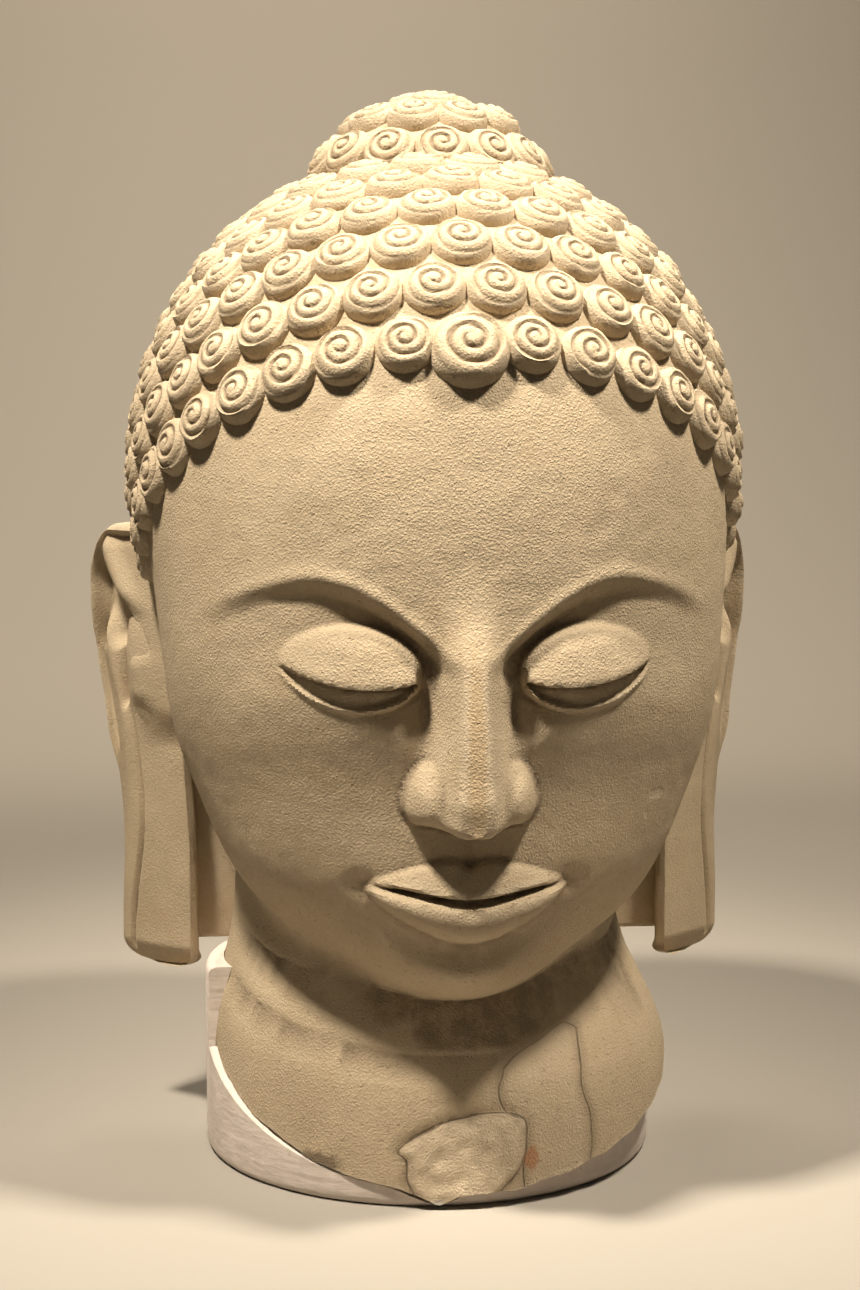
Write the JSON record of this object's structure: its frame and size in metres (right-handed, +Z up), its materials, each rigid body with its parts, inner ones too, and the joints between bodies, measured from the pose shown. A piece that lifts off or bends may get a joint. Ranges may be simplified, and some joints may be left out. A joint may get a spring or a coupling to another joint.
{
  "type": "stone buddha head",
  "caption": "Carved sandstone head with snail-shell curls, a crown knob and long lobed ears, broken at the neck and held up on a round white cradle.",
  "frame": {"origin": "on the cradle's flat underside, straight below the middle of the head", "axes": "+Z up, the face looks along -Y, +X is the figure's own left"},
  "size_m": [0.2537, 0.2627, 0.3853],
  "materials": {
    "sandstone": "matt buff sandstone, finely pecked",
    "white_plaster": "white painted plaster, matt"
  },
  "bodies": {
    "root": {"stone_head": "sandstone", "neck_cradle": "white_plaster"}
  },
  "joints": []
}
